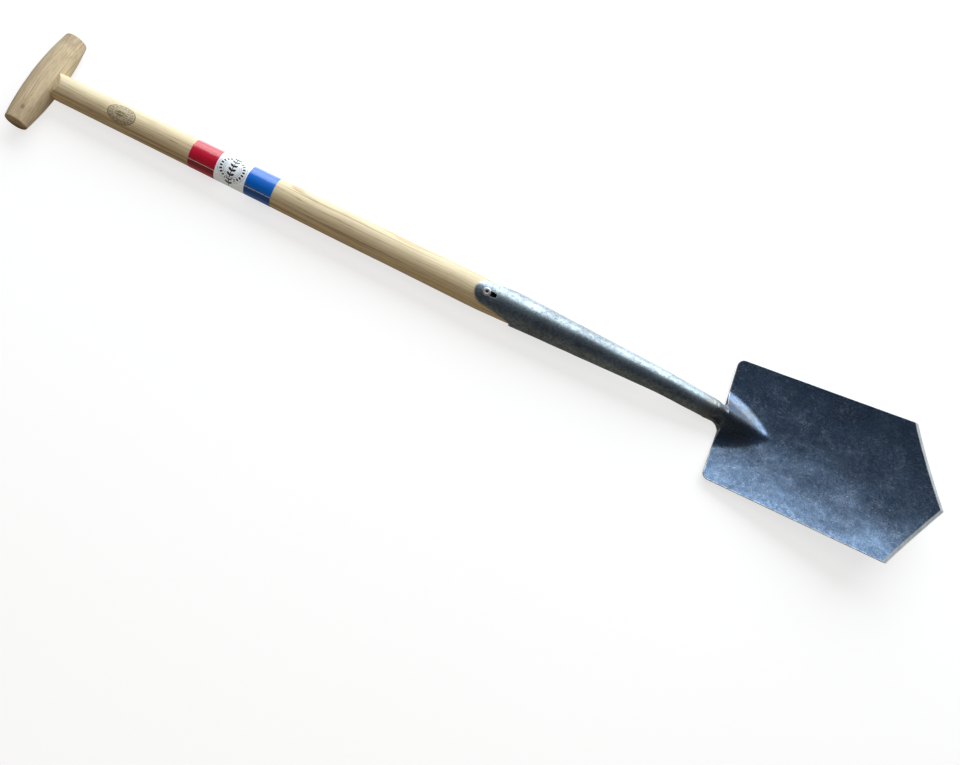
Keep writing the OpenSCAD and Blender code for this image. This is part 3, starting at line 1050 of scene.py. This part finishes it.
def build_weld(material):
    """A dressed weld: a low crown with faint dressing marks round it."""
    start = NECK_LEN - STUB_LEN - WELD_LEN
    rows = []
    for s in spread(start - 0.4, start + WELD_LEN + 0.4, 22):
        share = clamp((s - start) / WELD_LEN)
        crown = 0.35 * sin(pi * share) - (0.3 if s < start or s > start + WELD_LEN else 0.0)
        radius = neck_r(s) + crown
        rows.append([neck_point(s, radius + ripple(around(s, 5, a), 3.0, 0.12, 7.0), a)
                     for a in ring_angles(128)])
    piece = solid("weld_band", rows)
    return finish_piece(piece, "neck_weld", [material])


# ---- blade ----

def blade_point(u, y, height):
    """u runs from the tread to the point, height comes out of the front of the blade."""
    return Vector((TREAD_X + u * cos(LIFT) - height * sin(LIFT), y,
                   -TREAD_DROP + u * sin(LIFT) + height * cos(LIFT)))


def dish(y, radius=DISH_R):
    return DISH_R - sqrt(radius ** 2 - y ** 2)


def frog_height(u, y):
    """The raised frog's own surface: a round ridge with straight flanks, sinking towards the point."""
    share = clamp(u / FROG_LEN, 0.0, 1.3)
    top = mix(TREAD_DROP - NECK_DROP + NECK_END_R, -3.0, share)
    radius = mix(NECK_END_R, 9.0, min(share, 1.0))
    turn = mix(0.70, 0.46, min(share, 1.0))
    s = abs(y) / radius
    if s <= turn:
        fall = sqrt(1 - s * s)
    else:
        fall = sqrt(1 - turn * turn) - (s - turn) * turn / sqrt(1 - turn * turn)
    return top - radius + radius * fall


def front_height(u, y):
    soft = mix(13.0, 5.0, clamp(u / FROG_LEN))
    height = smooth_max(dish(y), frog_height(u, y), soft)
    height += ripple((u, y, 0), 38, 0.35, 11.0) * smoothstep(u, 10, 40)
    return height + ripple((u, y, 0), 11, 0.07, 13.0)


def back_height(y):
    return dish(y, DISH_R + BLADE_THICK)


def half_width(u):
    """Half the blade's width at u, if its straight sides ran on."""
    return mix(TOP_HALF, SHOULDER_HALF, u / SIDE_LEN) - ROUND


def point_line(share):
    """u where the column at this share of the width meets the ground edge."""
    fall = SHOULDER_HALF / (BLADE_LEN - SIDE_LEN)
    widen = (SHOULDER_HALF - TOP_HALF) / SIDE_LEN
    reach = BLADE_LEN - ROUND
    return (fall * reach - share * TOP_HALF) / (fall + share * widen)


def tread_line(y):
    """u of the blade's top edge: bowed in at the middle, with rounded corners."""
    bow = TREAD_BOW * (1 - (y / TOP_HALF) ** 2)
    over = abs(y) - (TOP_HALF - ROUND - CORNER_R)
    corner = CORNER_R - sqrt(max(CORNER_R ** 2 - over ** 2, 0.0)) if over > 0 else 0.0
    return max(bow, 0.0) + corner + ROUND


ROUND = 0.4                         # radius that breaks the sheet's edges
NECK_FILLET = 6.0
GRIND_RUN = GRIND_W / sin(atan2(SHOULDER_HALF, BLADE_LEN - SIDE_LEN))


def tread_columns():
    """y of each column at the tread, and how many of them belong to the neck."""
    neck_half = NECK_END_R + NECK_FILLET
    inner = [neck_half * sin(a) for a in spread(-pi / 2, pi / 2, 44)]
    foot = spread(neck_half, 46, 26)[1:]
    plain = spread(46, TOP_HALF - ROUND - CORNER_R, 14)[1:]
    corner = [TOP_HALF - ROUND - CORNER_R + CORNER_R * sin(a)
              for a in spread(0, pi / 2, 12)][1:]
    outer = foot + plain + corner
    return [-y for y in reversed(outer)] + inner + outer, len(outer), len(inner)


def blade_heights(u, y, until_edge):
    """Front and back heights at a place; until_edge is how far along u the ground edge is."""
    back = back_height(y)
    ground = clamp(1 - until_edge / GRIND_RUN) * (BLADE_THICK - EDGE_THICK)
    return front_height(u, y) - ground, back


def main_rows(columns):
    """Front and back rows of the blade, from the tread to the ground edge."""
    shares = [share ** 1.15 for share in spread(0.0, 1.0, 120)]
    grind = [0.33, 0.66, 1.0]
    front, back = [], []
    for row in range(len(shares) + len(grind)):
        front_row, back_row = [], []
        for y0 in columns:
            share = y0 / (TOP_HALF - ROUND)
            u0, end = tread_line(y0), point_line(abs(share))
            ground_from = end - GRIND_RUN
            if row < len(shares):
                u = mix(u0, ground_from, shares[row])
            else:
                u = mix(ground_from, end, grind[row - len(shares)])
            y = share * half_width(u)
            high, low = blade_heights(u, y, end - u)
            front_row.append(blade_point(u, y, high))
            back_row.append(blade_point(u, y, low))
        front.append(front_row)
        back.append(back_row)
    return front, back


def stub_rows(columns):
    """Front and back rows from the weld to the tread, turning a round section into the frog's."""
    start = Vector(neck_point(NECK_LEN - STUB_LEN, 0.0, 0.0))
    up_start = Vector((sin(NECK_ANGLE), 0, cos(NECK_ANGLE)))
    up_end = Vector((-sin(LIFT), 0, cos(LIFT)))
    centre = TREAD_DROP - NECK_DROP
    neck_half = NECK_END_R + NECK_FILLET
    reach = STUB_LEN + TREAD_BOW
    front, back = [], []
    for step in spread(0, pi / 2, 26)[:-1]:
        share = sin(step)
        left = (1 - share) * reach
        radius = mix(WELD_R, NECK_END_R, share)
        flare = 0.0
        if left < NECK_FILLET:
            flare = NECK_FILLET - sqrt(NECK_FILLET ** 2 - (NECK_FILLET - left) ** 2)
        half = radius + flare
        up = up_start.lerp(up_end, share).normalized()
        to_frog = smoothstep(share, 0.1, 1.0)
        to_sheet = smoothstep(share, 0.35, 1.0)
        front_row, back_row = [], []
        for y0 in columns:
            y = y0 / neck_half * half
            u0 = tread_line(y0)
            base = start.lerp(blade_point(u0, 0, centre), share)
            base.y = y
            arch = sqrt(max(radius ** 2 - y ** 2, 0.0))
            high = mix(arch, front_height(u0, y0) - centre, to_frog)
            low = mix(-arch, back_height(y0) - centre, to_sheet)
            front_row.append(base + up * high)
            back_row.append(base + up * low)
        front.append(front_row)
        back.append(back_row)
    return front, back


class BladeMesh:
    """Collects the blade's points and faces: a front and a back sheet and the rounded edge between."""

    def __init__(self):
        self.points = []
        self.faces = []

    def add_rows(self, rows):
        made = []
        for row in rows:
            made.append(list(range(len(self.points), len(self.points) + len(row))))
            self.points.extend(row)
        return made

    def fill(self, rows):
        for a, b in zip(rows, rows[1:]):
            for i in range(len(a) - 1):
                self.faces.append((a[i], a[i + 1], b[i + 1], b[i]))

    def edge_wall(self, loop_front, loop_back):
        """Rounds the outline over from the front loop to the back loop."""
        count = len(loop_front)
        up = Vector((-sin(LIFT), 0, cos(LIFT)))
        rows = [loop_front]
        profile = ((0.38, 0.08), (0.75, 0.34), (1.0, 1.0))
        wall = [[] for _ in range(2 * len(profile))]
        for i in range(count):
            high, low = self.points[loop_front[i]], self.points[loop_back[i]]
            before = self.points[loop_front[max(i - 1, 0)]]
            after = self.points[loop_front[min(i + 1, count - 1)]]
            outward = (after - before).cross(up).normalized()
            depth = (high - low).length
            push = min(ROUND, depth * 0.4)
            sink = min(ROUND, depth * 0.3)
            for k, (out, down) in enumerate(profile):
                wall[k].append(high + outward * push * out - up * sink * down)
                wall[-1 - k].append(low + outward * push * out + up * sink * down)
        rows += self.add_rows(wall)
        rows.append(loop_back)
        self.fill(rows)


def outline_loop(stub, main, outer, inner):
    """Vertex numbers along the outline, from the weld round the point and back to the weld."""
    last = len(main[0]) - 1
    loop = [row[0] for row in stub]
    loop += main[0][outer::-1]
    loop += [row[0] for row in main[1:]]
    loop += main[-1][1:]
    loop += [row[last] for row in main[-2:0:-1]]
    loop += main[0][last:outer + inner - 2:-1]
    loop += [row[-1] for row in reversed(stub)]
    return loop


def build_blade(material, ground):
    columns, outer, inner = tread_columns()
    neck_columns = columns[outer:outer + inner]
    mesh = BladeMesh()
    front, back = main_rows(columns)
    stub_front, stub_back = stub_rows(neck_columns)
    main_f, main_b = mesh.add_rows(front), mesh.add_rows(back)
    stub_f, stub_b = mesh.add_rows(stub_front), mesh.add_rows(stub_back)
    mesh.fill(main_f)
    mesh.fill(main_b)
    mesh.fill(stub_f + [main_f[0][outer:outer + inner]])
    mesh.fill(stub_b + [main_b[0][outer:outer + inner]])
    mesh.edge_wall(outline_loop(stub_f, main_f, outer, inner),
                   outline_loop(stub_b, main_b, outer, inner))
    mesh.faces.append(tuple(stub_f[0] + stub_b[0][::-1]))
    piece = new_object("blade_steel", mesh.points, mesh.faces, sharp_deg=17)
    to_plan = Matrix.Rotation(LIFT, 3, "Y")

    def edge_distance(p):
        local = to_plan @ (p - Vector((TREAD_X, 0, -TREAD_DROP)))
        u, y = local.x, abs(local.y)
        side = half_width(min(u, SIDE_LEN)) + ROUND - y
        tread = u - tread_line(min(y, TOP_HALF - ROUND)) + ROUND if y > NECK_END_R + 4 else 30.0
        point = (BLADE_LEN - (BLADE_LEN - SIDE_LEN) * y / SHOULDER_HALF - u) * GRIND_W / GRIND_RUN
        if u < -2 or y < NECK_END_R + 4 and u < 12:
            return 30.0
        return max(0.0, min(side, tread, point - GRIND_W))

    store_edge_distance(piece, edge_distance)
    finish_piece(piece, "blade", [material, ground])
    for face in piece.data.polygons:
        middle = to_plan @ (TO_SPADE @ face.center / MM - Vector((TREAD_X, 0, -TREAD_DROP)))
        until = BLADE_LEN - (BLADE_LEN - SIDE_LEN) * abs(middle.y) / SHOULDER_HALF - middle.x
        if until < GRIND_RUN and middle.z > back_height(min(abs(middle.y), SHOULDER_HALF)) + 0.2:
            face.material_index = 1
    return piece


# ---- pieces kept from the CAD model ----

def repaint(node, material):
    frame["nodes"][node].data.materials.clear()
    frame["nodes"][node].data.materials.append(material)


# ---- studio ----

def add_light(name, place, target, size, power, colour):
    light = bpy.data.lights.new(name, "AREA")
    light.shape = "RECTANGLE"
    light.size, light.size_y = size
    light.energy = power
    light.color = colour
    lamp = in_scene(name, light)
    lamp.location = place
    lamp.rotation_euler = (Vector(target) - Vector(place)).to_track_quat("-Z", "Y").to_euler()
    return lamp


def build_floor():
    """A pale floor, partly lit from below like a light table, so that shadows on it stay faint."""
    mesh = bpy.data.meshes.new("floor")
    mesh.from_pydata([(-6, -6, 0), (6, -6, 0), (6, 6, 0), (-6, 6, 0)], [], [(0, 1, 2, 3)])
    floor = in_scene("floor", mesh)
    floor.location.z = cad_box[0].z - 0.0003
    floor.visible_diffuse = False
    floor.visible_glossy = False
    t = Tree("pale_floor")
    grain = t.noise(t.place, 3.0, 2.0)
    floor.data.materials.append(t.surface(
        Base_Color=t.blend(grain, (0.40, 0.40, 0.40, 1), (0.42, 0.42, 0.42, 1)), Roughness=0.9,
        Specular_IOR_Level=0.0, Emission_Color=(1.0, 1.0, 1.0, 1.0), Emission_Strength=FLOOR_GLOW))


FLOOR_GLOW = 0.70
WINDOW_RISE = radians(32)      # how high the window's middle is, seen from the spade
WINDOW_FAR = 1.8
WINDOW_SIZE = (3.2, 1.7)
WINDOW_POWER = 66.0
ZENITH = (0.032, 0.044, 0.064, 1.0)
NEAR_SIDE = (0.17, 0.155, 0.13, 1.0)
FAR_SIDE = (1.7, 1.8, 1.85, 1.0)


def build_room():
    """A dim room: cool overhead, warm on the near side, and pale below the window."""
    world = bpy.data.worlds.new("studio")
    world.use_nodes = True
    t = Nodes(world.node_tree)
    _, y, z = t.split(t.nodes.new("ShaderNodeTexCoord").outputs["Generated"])
    colour = t.blend(t.span(z, -0.1, 0.6), NEAR_SIDE, ZENITH)
    below = t.blend(t.span(y, 0.40, 0.80), NEAR_SIDE, FAR_SIDE)
    colour = t.blend(t.span(z, 0.10, 0.0), colour, below)
    t.links.new(colour, t.nodes["Background"].inputs["Color"])
    bpy.context.scene.world = world


def build_studio():
    build_floor()
    build_room()
    window = (0.0, WINDOW_FAR * cos(WINDOW_RISE), WINDOW_FAR * sin(WINDOW_RISE))
    add_light("window", window, (0.0, 0.0, 0.0), WINDOW_SIZE, WINDOW_POWER, (0.94, 0.98, 1.0))
    overhead = add_light("overhead", (0.0, 0.1, 2.0), (0.0, 0.0, 0.0), (2.0, 1.0), 7.0, (1.0, 0.97, 0.92))
    fill = add_light("fill", (0.1, -2.2, 0.9), (0.0, 0.0, 0.0), (2.6, 0.9), 8.0, (1.0, 0.68, 0.34))
    overhead.visible_glossy = False
    fill.visible_glossy = False


def build_camera():
    """Looks down on the spade from the handle's end, a little on the -y side."""
    right = Vector((0.89771, 0.38770, 0.20930))
    forward = Vector((0.08740, 0.30889, -0.94707))
    right = (right - forward * right.dot(forward) / forward.length_squared).normalized()
    data = bpy.data.cameras.new("camera")
    data.sensor_width = 36.0
    data.lens = 28.5
    data.clip_start, data.clip_end = 0.05, 50.0
    camera = in_scene("camera", data)
    back = -forward.normalized()
    matrix = Matrix((right, back.cross(right), back)).transposed().to_4x4()
    matrix.translation = (-0.0694, -0.3829, 0.8759)
    camera.matrix_world = matrix
    bpy.context.scene.camera = camera


build_grip(ash_grip())
build_shaft(ash_shaft())
build_label(label_film())
build_rivet(zinc_steel("rivet_zinc", tone(218, 221, 224), tone(150, 154, 158)))
# Painted light: the socket's copy of the forge finish is set much lighter than the blade's, to match how
# light falls on each part.
build_socket(forged_steel("socket_forge_finish", tone(174, 189, 196), tone(140, 151, 157),
                          3, 0.5, 1.5, 0.36, 0.5))
build_weld(dressed_steel())
build_blade(forged_steel("blade_forge_finish", tone(104, 129, 160), tone(82, 102, 129),
                         5, 0.25, 1.3, 0.22, 0.25), ground_steel())
repaint("grip_wedge", wedge_wood())
repaint("rivet_mandrel", zinc_steel("mandrel_dark", tone(90, 92, 94), tone(58, 58, 60)))
build_studio()
build_camera()
bpy.context.scene.view_settings.view_transform = "Standard"
